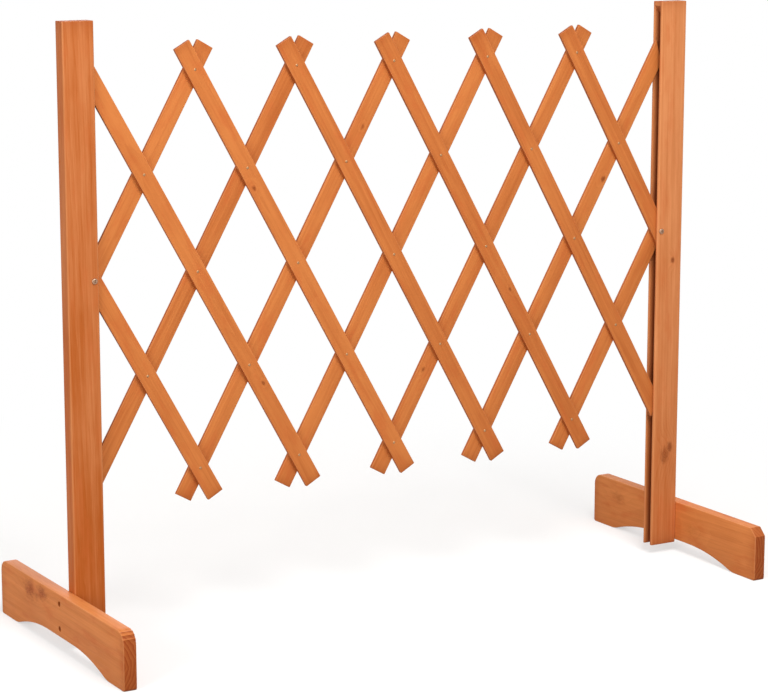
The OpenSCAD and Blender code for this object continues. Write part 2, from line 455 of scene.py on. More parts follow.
def arc(centre, radius, start, end, steps):
    """Points on an arc in X and Y, between two angles in degrees."""
    points = []
    for i in range(steps + 1):
        angle = math.radians(start + (end - start) * i / steps)
        points.append((centre[0] + radius * math.cos(angle), centre[1] + radius * math.sin(angle)))
    return points


# Wood


def grain_lay(name, pith, log_start):
    """Matrix from a board's own space to the space of its log, where X runs along the pith.

    Each board has its own stretch of the log, so no two show the same figure.
    """
    chance = Random(name)
    beside, away = PITH_SPREAD
    stretch = Vector((
        log_start + chance.uniform(0, LOG_STRETCH),
        pith[0] + chance.uniform(-beside, beside) * MM,
        pith[1] * chance.choice((-1, 1)) + chance.uniform(-away, away) * MM,
    ))
    slope = Matrix.Rotation(math.radians(chance.uniform(-GRAIN_SLOPE, GRAIN_SLOPE)), 4, "Z")
    rise = Matrix.Rotation(math.radians(chance.uniform(*GRAIN_RISE) * chance.choice((-1, 1))), 4, "Y")
    return Matrix.Translation(stretch) @ slope @ rise


def lay_grain(mesh, lay, tone, run, sawn):
    """Give a board what its wood reads: place in the log, end grain, soaked ends, tone, and worn edges with
    painted highlights.

    Run is painted shade that it adds to the tone of a board, growing towards its lower end. Sawn is the share
    of the stain of end grain that the sides take, where they are sawn and not planed.
    """
    along = [vertex.co.x for vertex in mesh.vertices]
    low, high = min(along), max(along)
    places = [part for vertex in mesh.vertices for part in lay @ vertex.co]
    soaks = [math.exp(-min(x - low, high - x) / SOAK_DEPTH) for x in along]
    # Painted shade: the tone grows towards the lower end of the board by run.
    tones = [tone + run * ((high - x) / (high - low)) ** 2 for x in along]
    facing = [[abs(part) for part in face.normal] for face in mesh.polygons]
    ends = [max(sawn * ramp(y, *SIDE_FACING), ramp(x, *END_FACING)) for x, y, _ in facing]
    # Bevelled edges get paler: stain worn thin there, and a painted highlight.
    edges = [min(1.0, 2 * z * max(x, y)) for x, y, z in facing]
    for name, kind, domain, key, values in (
        ("log_place", "FLOAT_VECTOR", "POINT", "vector", places),
        ("soaked_end", "FLOAT", "POINT", "value", soaks),
        ("board_tone", "FLOAT", "POINT", "value", tones),
        ("end_grain", "FLOAT", "FACE", "value", ends),
        ("worn_edge", "FLOAT", "FACE", "value", edges),
    ):
        mesh.attributes.new(name, kind, domain).data.foreach_set(key, values)


# Materials

# Sockets of the Mix node when it mixes colours
MIX_FACTOR, MIX_A, MIX_B, MIX_RESULT = 0, 6, 7, 2

# Knots are flattened along the grain. Their outline is ragged, in bits of about 11 by 6 mm. The other sizes
# are in radii of the knot: reach of the rags, middle of the heart's soft edge, width of a ring of the branch,
# and how far round it the rings of the trunk swell.
KNOT_FLATTENING = 0.62
RAG_LENGTH_MM = 100 / 9
RAG_WIDTH_MM = 100 / 17
RAG_REACH = 1.6
HEART_EDGE = 1.5
BRANCH_RING = 0.3
SWELL_REACH = 4

# Shade of a branch's rings and their contrast
BRANCH_SHADE = 0.92
BRANCH_CONTRAST = 0.22

# How far growth rings wander and swell, in radians, how narrow late wood is in them, and how much higher than
# the fibres it stands
RING_WANDER = 14
RING_SWELL = 9
LATE_WOOD_POWER = 1.7
LATE_WOOD_RELIEF = 0.5

# A wave texture of scale 1 repeats after this many metres.
WAVE_REPEAT = 0.31416

# Weights of the patterns that make up the figure
RING_WEIGHT = 0.2
PORE_WEIGHT = 0.5
FIBRE_WEIGHT = 0.6
STREAK_WEIGHT = 1.0
CLOUD_WEIGHT = 1.1

# Shares of stain and painted light: soaked ends, end grain and what late wood adds to it, rubbed edges with a
# painted highlight, and painted shade in the grooves
SOAKED = 0.4
DRUNK = 0.65
DRUNK_LATE = 0.32
RUBBED_AND_HIGHLIT = 0.3
GROOVE_SHADE_PAINT = 0.85

# Steel where its coat is thin: share of its colour there, and how much smoother and rougher the coat gets
THIN_COAT = 0.72
SMOOTHER = 0.12
ROUGHER = 0.2


def bare_nodes(holder):
    """Empty the node tree of a new material or world, and return what adds a node to it."""
    holder.use_nodes = True
    holder.node_tree.nodes.clear()
    return partial(add_node, holder.node_tree)


def add_node(tree, kind, inputs, out=0, **settings):
    """Add a node with its settings, give its inputs values or other nodes' outputs, and return an output."""
    node = tree.nodes.new("ShaderNode" + kind)
    for name, value in settings.items():
        setattr(node, name, value)
    for key, value in inputs.items():
        if isinstance(value, bpy.types.NodeSocket):
            tree.links.new(value, node.inputs[key])
        else:
            node.inputs[key].default_value = value
    return node.outputs[out] if len(node.outputs) else None


def drawn_out(add, place, along_mm, across_mm, detail, roughness=0.57):
    """Noise with patches of the given length along the grain and width across it."""
    along = 1 / (along_mm * MM)
    across = 1 / (across_mm * MM)
    space = add("VectorMath", {0: place, 1: (along, across, across)}, operation="MULTIPLY")
    return add("TexNoise", {"Vector": space, "Scale": 1.0, "Detail": detail, "Roughness": roughness})


def knot_marks(add, place, knots, blur):
    """Dark hearts of the knots, and how the rings swell round them. They are flattened balls in the log."""
    heart, swell = 0.0, 0.0
    space = add("VectorMath", {0: place, 1: (KNOT_FLATTENING, 1, 1)}, operation="MULTIPLY")
    rags = drawn_out(add, place, RAG_LENGTH_MM, RAG_WIDTH_MM, 2.0, roughness=0.5)
    for centre, radius, darkness in knots:
        flat_centre = (centre.x * KNOT_FLATTENING, centre.y, centre.z)
        away = add("VectorMath", {0: space, 1: flat_centre}, "Value", operation="DISTANCE")
        ragged = add("Math", {0: rags, 1: RAG_REACH * radius, 2: away}, operation="MULTIPLY_ADD")
        dark = add(
            "MapRange",
            {
                "Value": ragged, "From Min": radius * (HEART_EDGE + blur),
                "From Max": radius * (HEART_EDGE - blur), "To Max": darkness,
            },
            interpolation_type="SMOOTHSTEP",
        )
        # Fine rings of the branch show in the heart.
        turns = 2 * math.pi / (BRANCH_RING * radius)
        branch_phase = add("Math", {0: ragged, 1: turns}, operation="MULTIPLY")
        branch_ring = add("Math", {0: branch_phase}, operation="SINE")
        branch = add("Math", {0: branch_ring, 1: BRANCH_CONTRAST, 2: BRANCH_SHADE}, operation="MULTIPLY_ADD")
        shaded = add("Math", {0: dark, 1: branch}, operation="MULTIPLY")
        heart = add("Math", {0: heart, 1: shaded}, operation="MAXIMUM")
        round_it = add(
            "MapRange", {"Value": away, "From Min": SWELL_REACH * radius, "From Max": 0.0},
            interpolation_type="SMOOTHERSTEP",
        )
        swell = add("Math", {0: swell, 1: round_it}, operation="ADD")
    return heart, swell


def stained_fir(name, early, late, knot_colour, knots, ring_mm, knot_blur, contrast, mottle):
    """Fir, planed and stained orange-brown.

    It shows soft growth rings, long fibres, cloudy patches where the stain took unevenly, a few knots,
    dark end grain, edges rubbed a little paler and painted with a highlight, and painted shade in the
    grooves.
    The surface is matt and very slightly ribbed.
    """
    finish = bpy.context.scene.trellis_finish
    material = bpy.data.materials.new(name)
    add = bare_nodes(material)
    place = add("Attribute", {}, "Vector", attribute_name="log_place")
    # Tone carries painted shade low on the posts, the worn edges a painted highlight, and the last layer
    # painted shade in the grooves.
    tone, soak, end, edge, groove_shade_share = (
        add("Attribute", {}, "Fac", attribute_name=layer)
        for layer in ("board_tone", "soaked_end", "end_grain", "worn_edge", "pooled_stain")
    )
    heart, swell = knot_marks(add, place, knots, knot_blur)

    # Rings wander along the log over about 250 mm, and across it over about 25 mm.
    wander = drawn_out(add, place, 250, 25, 2.0)
    wandering = add("Math", {0: wander, 1: RING_WANDER}, operation="MULTIPLY")
    phase = add("Math", {0: swell, 1: RING_SWELL, 2: wandering}, operation="MULTIPLY_ADD")
    rings = add(
        "TexWave", {"Vector": place, "Scale": WAVE_REPEAT / (ring_mm * MM), "Phase Offset": phase}, "Fac",
        wave_type="RINGS", rings_direction="X", wave_profile="SAW",
    )
    late_rings = add("Math", {0: rings, 1: LATE_WOOD_POWER}, operation="POWER")

    # Fibres are about 0.1 mm wide. They are drawn 1.6 mm wide, so that they show.
    fibres = drawn_out(add, place, 165, 1.6, 3.0)
    # Pores are finer still. They are drawn 0.6 mm wide.
    pores = drawn_out(add, place, 40, 0.6, 2.0)
    # Broader streaks, from one growth season to the next
    streaks = drawn_out(add, place, 450, 7, 2.0)
    # Clouds of stain
    clouds = drawn_out(add, place, 125, 31, 3.0)

    # The share of late wood colour, summed from all of these and the tone of the board
    share = add("Math", {0: late_rings, 1: RING_WEIGHT * contrast, 2: tone}, operation="MULTIPLY_ADD")
    for pattern, weight in (
        (pores, PORE_WEIGHT), (fibres, FIBRE_WEIGHT), (streaks, STREAK_WEIGHT), (clouds, CLOUD_WEIGHT),
    ):
        centred = add("Math", {0: pattern, 1: 0.5}, operation="SUBTRACT")
        share = add("Math", {0: centred, 1: weight * contrast, 2: share}, operation="MULTIPLY_ADD")
    late_share = add("Clamp", {"Value": share})

    # Redder patches
    patches = drawn_out(add, place, 62, 18, 4.0)
    blush = add(
        "MapRange", {"Value": patches, "From Min": 0.48, "From Max": 0.72, "To Max": mottle},
        interpolation_type="SMOOTHSTEP",
    )

    # Stain soaks in at the ends, and end grain takes the most, unevenly from ring to ring. It is rubbed off
    # the edges, which also get a painted highlight, and painted shade darkens the grooves.
    soaked, rubbed, pooled = (
        add("Math", {0: where, 1: full}, operation="MULTIPLY")
        for where, full in ((soak, SOAKED), (edge, RUBBED_AND_HIGHLIT), (groove_shade_share, GROOVE_SHADE_PAINT))
    )
    uneven = add("Math", {0: late_rings, 1: DRUNK_LATE, 2: DRUNK}, operation="MULTIPLY_ADD", use_clamp=True)
    drunk = add("Math", {0: end, 1: uneven}, operation="MULTIPLY")
    dark_ends = add("Math", {0: soaked, 1: drunk}, operation="MAXIMUM")

    colour = (*early, 1)
    # The worn edge tint is partly a painted highlight, and the last tint is painted shade in the grooves.
    for factor, tint in (
        (late_share, late), (blush, finish.blush), (dark_ends, finish.end_grain), (rubbed, finish.worn_edge),
        (heart, knot_colour), (pooled, finish.pooled),
    ):
        mixed = {MIX_FACTOR: factor, MIX_A: colour, MIX_B: (*tint, 1)}
        colour = add("Mix", mixed, MIX_RESULT, data_type="RGBA")

    # Late wood and fibres stand up a little after planing.
    relief = add("Math", {0: late_rings, 1: LATE_WOOD_RELIEF, 2: fibres}, operation="MULTIPLY_ADD")
    bump = add("Bump", {"Strength": 0.35, "Distance": 0.25 * MM, "Height": relief})
    roughness = add("MapRange", {"Value": fibres, "To Min": 0.5, "To Max": 0.72})
    shader = add(
        "BsdfPrincipled",
        {"Base Color": colour, "Roughness": roughness, "Specular IOR Level": 0.2, "Normal": bump},
    )
    add("OutputMaterial", {"Surface": shader})
    return material


def plated_steel(name, colour, roughness, grit_mm):
    """Steel with a thin bright coat, turned or hammered.

    It reflects the room, a little blurred and unevenly dull where the coat is thin.
    """
    material = bpy.data.materials.new(name)
    add = bare_nodes(material)
    space = add("TexCoord", {}, "Object")
    grit = add("TexNoise", {"Vector": space, "Scale": 1 / (grit_mm * MM), "Detail": 2.0})
    dull = add("MapRange", {"Value": grit, "To Min": roughness - SMOOTHER, "To Max": roughness + ROUGHER})
    thin = [THIN_COAT * part for part in colour]
    mixed = {MIX_FACTOR: grit, MIX_A: (*thin, 1), MIX_B: (*colour, 1)}
    coat = add("Mix", mixed, MIX_RESULT, data_type="RGBA")
    bump = add("Bump", {"Strength": 0.3, "Distance": 0.08 * MM, "Height": grit})
    shader = add("BsdfPrincipled", {"Base Color": coat, "Metallic": 1.0, "Roughness": dull, "Normal": bump})
    add("OutputMaterial", {"Surface": shader})
    return material


def seen_rays(add):
    """Where a surface is seen by the camera, in a reflection or through glass, and is no light on others."""
    seen = 0.0
    for way in ("Is Camera Ray", "Is Glossy Ray", "Is Transmission Ray"):
        ray = add("LightPath", {}, way)
        seen = add("Math", {0: seen, 1: ray}, operation="MAXIMUM")
    return seen


def studio_paper(name, colour, bounce):
    """Wide matt paper, which shows soft shadows and fades to plain white away from the fence.

    It throws less light back on the fence than it shows, so that undersides stay darker.
    """
    material = bpy.data.materials.new(name)
    add = bare_nodes(material)
    seen = seen_rays(add)
    space = add("TexCoord", {}, "Object")
    away = add("VectorMath", {0: space}, "Value", operation="LENGTH")
    lift = add(
        "MapRange",
        {"Value": away, "From Min": LIFT_START, "From Max": LIFT_STOP, "To Min": FLOOR_LIFT},
        interpolation_type="SMOOTHSTEP",
    )
    lifted = add("Math", {0: seen, 1: lift}, operation="MULTIPLY")
    mixed = {MIX_FACTOR: seen, MIX_A: (*bounce, 1), MIX_B: (*colour, 1)}
    tint = add("Mix", mixed, MIX_RESULT, data_type="RGBA")
    paper = add("BsdfDiffuse", {"Color": tint, "Roughness": 0.9})
    white = add("Emission", {"Color": WHITE, "Strength": 1.0})
    surface = add("MixShader", {0: lifted, 1: paper, 2: white})
    add("OutputMaterial", {"Surface": surface})
    return material


def light_room(scene, ambient):
    """White surroundings: a soft light on the fence, and plain white to the camera and in reflections."""
    scene.world = bpy.data.worlds.new("white_room")
    add = bare_nodes(scene.world)
    light, white = (add("Background", {"Color": WHITE, "Strength": power}) for power in (ambient, 1.0))
    room = add("MixShader", {0: seen_rays(add), 1: light, 2: white})
    add("OutputWorld", {"Surface": room})


# Pieces


def show_piece(name, form, place, material, node, body, lay=None, tone=0.0, run=0.0, sawn=0.0):
    """Make a shown piece out of a form, which is used up, and put it in place of its node on its body."""
    for edge in form.edges:
        if edge.smooth:
            edge.smooth = edge.calc_face_angle(0.0) < SHARPEST_SMOOTH
    for face in form.faces:
        face.smooth = True
    mesh = mesh_from(name, form)
    if lay is not None:
        lay_grain(mesh, lay, tone, run, sawn)
    mesh.materials.append(material)
    piece = put_in_scene(name, mesh)
    piece.matrix_world = place
    bpy.context.view_layer.update()
    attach(piece, body)
    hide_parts(node)
    return piece


def turned_space(origin, along, across, through):
    """Matrix of a piece's own space: its origin and its three axes, in the space of the fence."""
    turned = Matrix((along, across, through)).transposed().to_4x4()
    return Matrix.Translation(origin) @ turned


def board_tone(name, middle, spread):
    """Share of late wood colour that a whole board has."""
    return middle + Random("tone " + name).uniform(-spread, spread)


# Posts: X of a post's own space runs up, Y from its outer to its inner face, and Z across its thickness.


def post_space(side):
    """Space of a post, from the middle of the lower end of its outer face."""
    low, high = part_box(side + "_post")
    outer = low.x if side == "left" else high.x
    inward = Vector((-SIDES[side], 0, 0))
    return turned_space(Vector((outer, (low.y + high.y) / 2, low.z)), UP, inward, UP.cross(inward))


def post_lay(side):
    """Place of a post in its log."""
    return grain_lay(side + "_post", POST_PITH, POST_LOGS[side])


def groove_run_out(length, sizes):
    """Heights on a post between which the groove gets shallower, where the round saw was lifted."""
    end = length - sizes.groove_cap
    return end - math.sqrt(sizes.groove_depth * (2 * sizes.saw_radius - sizes.groove_depth)), end


def groove_depth_at(x, length, sizes):
    """Depth of the groove at a height on a post."""
    straight, end = groove_run_out(length, sizes)
    if x <= straight:
        return sizes.groove_depth
    if x >= end:
        return 0.0
    radius = sizes.saw_radius
    return sizes.groove_depth - radius + math.sqrt(radius ** 2 - (x - straight) ** 2)


def post_ring(x, inset, depth, width, thickness, sizes):
    """Ring round a post at a height, inset from its faces, with a groove of the given depth."""
    half = thickness / 2 - inset
    near, far = inset, width - inset
    r = sizes.post_edge - inset
    groove_half = sizes.groove_width / 2 + (inset if depth > 0 else 0)
    floor = far if depth == 0 else width - depth - inset
    lip = min(sizes.groove_edge, (far - floor) / 3)
    shade = max(floor, far - sizes.groove_shade)
    half_ring = arc((near + r, -half + r), r, 180, 270, POST_EDGE_STEPS)
    half_ring += arc((far - r, -half + r), r, 270, 360, POST_EDGE_STEPS)
    half_ring += arc((far - lip, -groove_half - lip), lip, 0, 90, BROKEN_EDGE_STEPS)
    half_ring += [(shade, -groove_half), (floor, -groove_half)]
    ring = half_ring + [(y, -z) for y, z in reversed(half_ring)]
    return [Vector((x, y, z)) for y, z in ring]


def post_form(side, sizes):
    """Form of a post with its groove and its softened ends."""
    low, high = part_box(side + "_post")
    width, thickness, length = high.x - low.x, high.y - low.y, high.z - low.z
    soft = sizes.post_end_edge
    softening = [
        (soft * (1 - math.cos(math.radians(turn))), soft * (1 - math.sin(math.radians(turn))))
        for turn in (0, 30, 60, 90)
    ]
    straight, end = groove_run_out(length, sizes)
    heights = [x * MM for x in POST_LINES]
    heights += [straight * (i + 1) / GROOVE_STEPS for i in range(GROOVE_STEPS)]
    heights += [straight + (end - straight) * (i + 1) / RUN_OUT_STEPS for i in range(RUN_OUT_STEPS)]
    places = softening + [(x, 0.0) for x in heights]
    places += [(length - x, inset) for x, inset in reversed(softening)]
    rings = []
    for x, inset in places:
        depth = groove_depth_at(x, length, sizes)
        rings.append(post_ring(x, inset, depth, width, thickness, sizes))
    return loft(rings)


def paint_groove_shade(mesh, width, sizes):
    """Paint shade into the groove of a post, darker the deeper it is."""
    slack = 0.1 * MM
    reach = sizes.groove_width / 2 + slack
    groove_shade_shares = []
    for vertex in mesh.vertices:
        depth = width - vertex.co.y if abs(vertex.co.z) < reach else 0.0
        groove_shade_shares.append(ramp(depth, sizes.groove_edge, sizes.groove_edge + sizes.groove_shade))
    mesh.attributes.new("pooled_stain", "FLOAT", "POINT").data.foreach_set("value", groove_shade_shares)


# Feet: X of a foot's own space runs along it, Y up, and Z out of its outer face.


def foot_space(side):
    """Space of a foot, from the ground under its middle."""
    low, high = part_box(side + "_foot")
    out = Vector((SIDES[side], 0, 0))
    middle = (low + high) / 2
    return turned_space(Vector((middle.x, middle.y, low.z)), UP.cross(out), UP, out)


def foot_lay(side):
    """Place of a foot in its log."""
    return grain_lay(side + "_foot", FOOT_PITH, FOOT_LOGS[side])


def foot_outline(side, length, height, sizes):
    """Side view of a foot: arch, pads, softened heels and rounded upper corners.

    The saw left steps in the front corner of the left foot, and one flat in that of the right foot.
    """
    half = length / 2
    heel = sizes.foot_heel
    corner = sizes.foot_corner
    fillet = sizes.pad_fillet
    rise = sizes.arch_rise
    flat = sizes.arch_flat / 2
    flank = half - sizes.pad_length - flat
    flank_radius = (flank ** 2 + rise ** 2) / (2 * rise)
    flank_centre = (flat, rise - flank_radius)
    # The fillet touches the pad and the flank, so its centre is this far along from the flank's.
    reach = math.sqrt((flank_radius + fillet) ** 2 - (fillet - flank_centre[1]) ** 2)
    turn = math.degrees(math.atan2(reach, fillet - flank_centre[1]))
    quarter = arc(flank_centre, flank_radius, 90, 90 - turn, ARCH_STEPS)
    quarter += arc((flat + reach, fillet), fillet, 270 - turn, 270, PAD_FILLET_STEPS)[1:]
    quarter += arc((half - heel, heel), heel, 270, 360, HEEL_STEPS)
    corner_centre = (half - corner, height - corner)
    sanded = arc(corner_centre, corner, 0, 90, CORNER_STEPS)
    if side == "left":
        chance = Random("saw")
        sawn = [sanded[0]]
        for step in range(SAW_STEPS):
            start = 90 * step / SAW_STEPS
            stop = 90 * (step + 1) / SAW_STEPS
            bite = sizes.saw_bite * chance.uniform(*SAW_UNEVEN)
            sawn += arc(corner_centre, corner - bite, start + SAW_SLOPE, stop - SAW_SLOPE, 1)
            sawn += arc(corner_centre, corner, stop, stop, 1)[:1]
        return quarter + sawn + [(-x, y) for x, y in reversed(quarter + sanded)]
    bevelled = [(half, height - sizes.foot_chamfer), (half - sizes.foot_chamfer, height)]
    return quarter + sanded + [(-x, y) for x, y in reversed(quarter + bevelled)]


def foot_form(side, sizes):
    """Form of a foot with its broken edges, its sawn corner and the recesses of its screws."""
    low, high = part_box(side + "_foot")
    thickness, length, height = high.x - low.x, high.y - low.y, high.z - low.z
    form = prism(foot_outline(side, length, height, sizes), thickness)
    rims = [edge for edge in form.edges if abs(edge.verts[0].co.z - edge.verts[1].co.z) < thickness / 2]
    break_edges(form, rims, sizes.foot_edge)
    cut_across(form, [end * (length / 2 - x * MM) for end in (-1, 1) for x in FOOT_LINES])
    radius, depth = sizes.recess / 2, sizes.recess_depth
    rim = 0.5 * MM
    profile = [
        (0, -depth), (radius * 0.97, -depth), (radius, -depth + rim), (radius, -rim), (radius + 2 * rim, rim),
        (0, rim),
    ]
    cutters = []
    for z in foot_screw_heights(side, sizes):
        place = Matrix.Translation((0, z - low.z, thickness / 2))
        cutters.append(loft(lathe(profile, SCREW_STEPS, place)))
    form = carve(form, join(cutters))
    # The saw marks in the front corner of the left foot are crisp. The sanded corners stay round.
    if side == "left":
        for edge in form.edges:
            start, stop = (vertex.co for vertex in edge.verts)
            at_corner = start.x > 0 and start.y > height / 2
            across = abs((start - stop).normalized().z) > 0.99
            if at_corner and across and edge.calc_face_angle(0.0) > SHARPEST_SAWN:
                edge.smooth = False
    return form


# Slats: X of a slat's own space runs up along it, Y across it to the right, and Z from front to back.


def pivot_place(column, row):
    """Place of a pivot of the lattice."""
    return FIRST_PIVOT + Vector((column * COLUMN_STEP, 0, (row - MIDDLE_ROW) * ROW_STEP))


def slat_pivots(layer, number):
    """Columns and rows of the pivots on a slat. Front slats lean to the left and back slats to the right."""
    pivots = []
    for row in range(LAST_ROW + 1):
        column = 2 * number - row if layer == "front" else 2 * number - LAST_ROW + row
        if 0 <= column <= LAST_COLUMN:
            pivots.append((column, row))
    return pivots


def in_post(column):
    """Whether a column of pivots is in a post."""
    return column in (0, LAST_COLUMN)


def slat_space(layer, number):
    """Space of a slat, from its lowest pivot at the middle of its thickness."""
    low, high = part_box(f"{layer}_slat_{number}")
    origin = pivot_place(*slat_pivots(layer, number)[0])
    origin.y = (low.y + high.y) / 2
    lean = -LEAN if layer == "front" else LEAN
    along = Vector((math.sin(lean), 0, math.cos(lean)))
    back = Vector((0, 1, 0))
    return turned_space(origin, along, back.cross(along), back)


def slat_lay(layer, number):
    """Place of a slat in its log."""
    chance = Random(f"log of {layer}_slat_{number}")
    pith = [chance.uniform(*distances) * MM for distances in SLAT_PITHS]
    return grain_lay(f"{layer}_slat_{number}", pith, SLAT_LOGS[layer] + SLAT_LOG_STEP * number)


def slat_end(column, row, overhang, sizes):
    """Outline of a slat's end past its pivot, from its right edge to its left, along it and across it.

    The end is up, and the post that it may run into is on its left. A free tip has its own overhang.
    """
    half = sizes.slat_width / 2
    if not in_post(column):
        return [(overhang, half), (overhang, -half)]
    if row != MIDDLE_ROW:
        return [(sizes.loose_reach, half), (sizes.loose_reach - sizes.slat_width, -half)]
    reach = sizes.pinned_reach
    return [
        (reach, half),
        (reach, (reach * math.sin(LEAN) - sizes.pinned_trim) / math.cos(LEAN)),
        ((sizes.pinned_trim - half * math.cos(LEAN)) / math.sin(LEAN), -half),
    ]


def slat_outline(layer, number, sizes):
    """Outline of a slat, from its upper end to its lower."""
    pivots = slat_pivots(layer, number)
    length = (pivots[-1][1] - pivots[0][1]) * PITCH
    high_column, high_row = pivots[-1]
    high = slat_end(high_column, high_row, sizes.upper_overhang, sizes)
    if high_column == LAST_COLUMN:
        high = [(x, -y) for x, y in reversed(high)]
    low_column, low_row = pivots[0]
    low = slat_end(low_column, low_row, sizes.lower_overhang, sizes)
    if low_column != LAST_COLUMN:
        low = [(x, -y) for x, y in reversed(low)]
    return [(x + length, y) for x, y in high] + [(-x, -y) for x, y in low]


def slat_form(layer, number, sizes):
    """Form of a slat with broken edges, bowed a little and not quite even in width."""
    name = f"{layer}_slat_{number}"
    low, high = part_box(name)
    outline = slat_outline(layer, number, sizes)
    form = prism(outline, high.y - low.y)
    break_edges(form, form.edges[:], sizes.slat_edge)
    start = min(x for x, _ in outline)
    end = max(x for x, _ in outline)
    length = end - start
    spans = max(2, round(length / SLAT_SPAN))
    places = [start + length * i / spans for i in range(1, spans)]
    places += [start + x * MM for x in SLAT_LINES]
    places += [end - x * MM for x in reversed(SLAT_LINES)]
    cut_across(form, places)
    chance = Random("bow of " + name)
    bow = chance.uniform(-1, 1) * sizes.slat_bow
    ripple = chance.uniform(0, 2 * math.pi)
    for vertex in form.verts:
        along = (vertex.co.x - start) / length
        vertex.co.y += bow * (math.sin(math.pi * along) - BOW_BACK)
        lag = RIPPLE_LAG if vertex.co.y > 0 else 0
        vertex.co.y += RIPPLE * math.sin(RIPPLE_TURNS * along + ripple + lag)
    return form


# Fasteners: Z of a fastener's own space runs out of its head, from the flat under the head.


def driven(point, degrees, axis, spin):
    """Place of a fastener: the flat under its head, the turn that points it, and how far it was spun."""
    place = Matrix.Translation(point)
    place @= Matrix.Rotation(math.radians(degrees), 4, axis)
    return place @ Matrix.Rotation(spin, 4, "Z")


def nail_form(sizes, depth, place, chance):
    """Form of a nail with an uneven hammered head and a clenched tail."""
    head = sizes.nail_head / 2
    rise = sizes.nail_head_height
    tail = sizes.nail_tail / 2
    drop = sizes.nail_tail_height
    shank = sizes.nail_shank / 2
    profile = [
        (0, -depth - drop), (0.5 * tail, -depth - 0.93 * drop), (0.85 * tail, -depth - 0.6 * drop),
        (tail, -depth - 0.2 * drop), (0.96 * tail, -depth), (shank, -depth), (shank, 0), (0.96 * head, 0),
        (head, 0.2 * rise), (0.94 * head, 0.5 * rise), (0.72 * head, 0.8 * rise), (0.4 * head, 0.96 * rise),
        (0, rise),
    ]
    return loft(lathe(profile, NAIL_STEPS, place, wobble=0.09, chance=chance))


def cross_slot(head, height, depth):
    """Form that cuts a tapered cross slot into a screw's head."""
    arm, half = 0.56 * head, 0.1 * head
    above = 1 * MM
    narrow, wide = 0.55, 1.15
    rings = []
    for z, scale in ((height - depth, narrow), (height + above, wide)):
        a, b = arm / 2 * scale, half * scale
        corners = [
            (a, -b), (a, b), (b, b), (b, a), (-b, a), (-b, b),
            (-a, b), (-a, -b), (-b, -b), (-b, -a), (b, -a), (b, -b),
        ]
        rings.append([Vector((x, y, z)) for x, y in corners])
    return loft(rings)


def screw_form(head, height, shank, length, place):
    """Form of a pan-head screw with a cross slot and a point."""
    radius = head / 2
    core = shank / 2
    profile = [
        (0, -length), (0.3 * core, -length + 0.6 * MM), (core, -length + 4 * MM), (core, 0),
        (0.97 * radius, 0),
        (radius, 0.1 * height), (0.99 * radius, 0.3 * height), (0.92 * radius, 0.58 * height),
        (0.76 * radius, 0.82 * height), (0.5 * radius, 0.95 * height), (0, height),
    ]
    form = loft(lathe(profile, SCREW_STEPS, Matrix.Identity(4)))
    slot_depth = min(0.65 * height, 1.5 * MM)
    form = carve(form, cross_slot(head, height, slot_depth))
    bmesh.ops.transform(form, matrix=place, verts=form.verts)
    return form


def foot_screw_heights(side, sizes):
    """Heights of the two screws of a foot."""
    low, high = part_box(side + "_foot_screws")
    radius = sizes.foot_screw_head / 2
    return low.z + radius, high.z - radius


# Finishes, made once and shared by like pieces. Places and radii of knots are in millimetres.


def log_knots(knots, half_thickness):
    """Knots in the space of their logs, with their radii and their darkness.

    Each is given by the place of its board in the log, its place along and across the board, the face that it
    is on, as the sign of Z there, its radius and its darkness.
    """
    return [
        (lay @ Vector((along * MM, across * MM, face * half_thickness)), radius * MM, darkness)
        for lay, along, across, face, radius, darkness in knots
    ]


def post_knots():
    """Knots of the posts, by height and by place from the outer to the inner face."""
    low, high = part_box("left_post")
    left, right = (post_lay(side) for side in SIDES)
    knots = (
        (right, 150, 24, 1, 10, 0.6), (right, 162, 16, 1, 7, 0.75), (right, 470, 17, 1, 4, 0.85),
        (right, 704, 30, -1, 6, 0.6), (left, 300, 26, 1, 6, 0.5), (left, 655, 17, 1, 5, 0.6),
    )
    return log_knots(knots, (high.y - low.y) / 2)


def foot_knots():
    """Knots of the feet, by place along the foot and by height."""
    low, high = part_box("left_foot")
    left, right = (foot_lay(side) for side in SIDES)
    knots = (
        (left, -109, 64, 1, 13, 0.9), (left, -64, 69, 1, 11, 0.85), (left, -85, 62, 1, 9, 0.6),
        (left, 120, 40, -1, 7, 0.7), (right, -62, 44, -1, 9, 0.17), (right, 150, 56, -1, 10, 0.42),
        (right, 96, 50, 1, 7, 0.7),
    )
    return log_knots(knots, (high.x - low.x) / 2)


def slat_knots():
    """Knots of the slats, by place along the slat and across it."""
    low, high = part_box("front_slat_1")
    knots = (
        (slat_lay("front", 3), 470, -5, -1, 3.4, 0.85), (slat_lay("front", 5), 250, 4, -1, 3.0, 0.75),
        (slat_lay("back", 3), 560, 3, -1, 3.2, 0.7), (slat_lay("back", 5), 120, -4, -1, 3.6, 0.75),
        (slat_lay("front", 2), 130, 5, -1, 2.8, 0.7), (slat_lay("back", 6), 439, 6, -1, 3.6, 0.85),
    )
    return log_knots(knots, (high.y - low.y) / 2)


